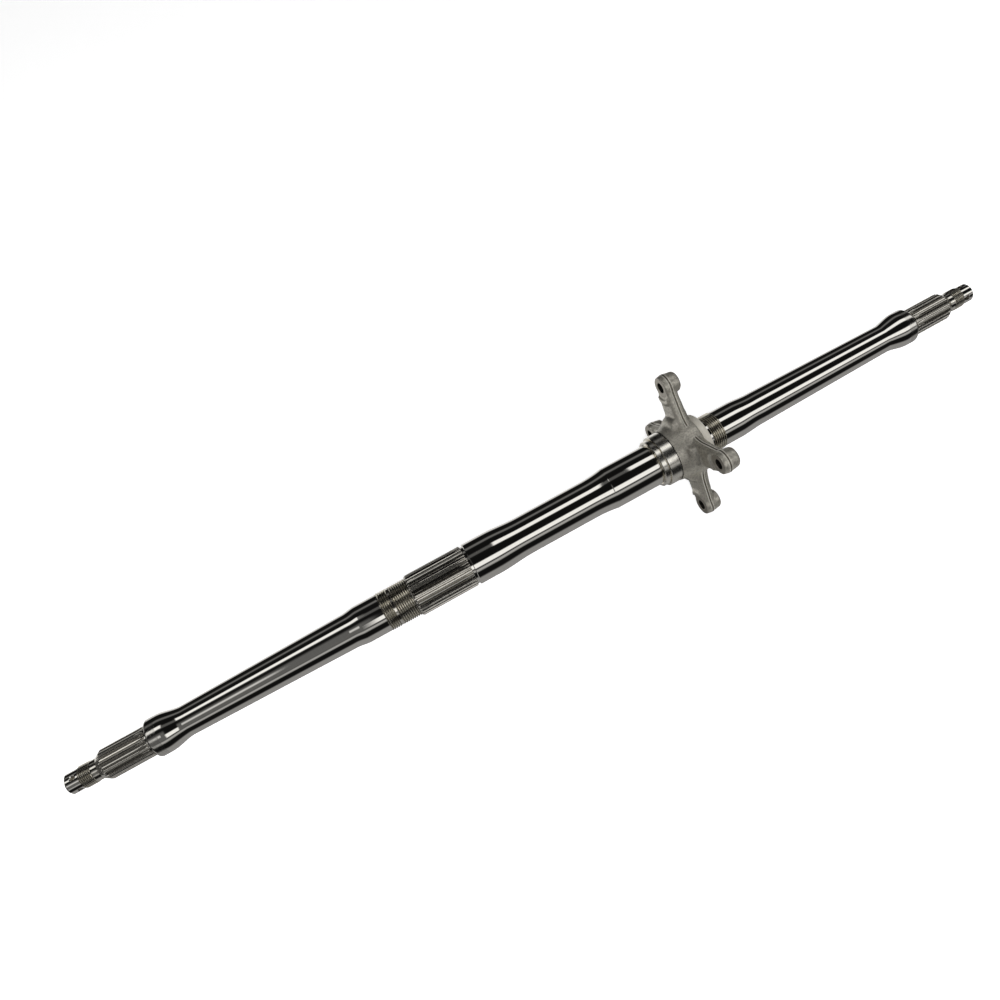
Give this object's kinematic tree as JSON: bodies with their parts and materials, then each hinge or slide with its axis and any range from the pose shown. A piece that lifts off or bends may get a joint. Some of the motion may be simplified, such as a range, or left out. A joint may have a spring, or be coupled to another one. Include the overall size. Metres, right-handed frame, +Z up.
{
  "type": "splined rear axle shaft with sprocket hub",
  "caption": "Polished one-piece splined axle shaft with threaded ends, bearing journals and a four-armed cast sprocket hub.",
  "frame": {"origin": "on the axle axis, in the plane of the four spot faces that the sprocket bolts against", "axes": "X along the axle axis, +X towards the shorter end beyond the hub; +Z up, with the four arms halfway between Y and Z"},
  "size_m": [0.948, 0.1118, 0.1118],
  "materials": {
    "polished_steel": "mirror polished",
    "blasted_casting": "blasted and zinc-grey, turned on the nose and band"
  },
  "bodies": {
    "root": {"axle_shaft": "polished_steel", "sprocket_hub": "blasted_casting"}
  },
  "joints": []
}
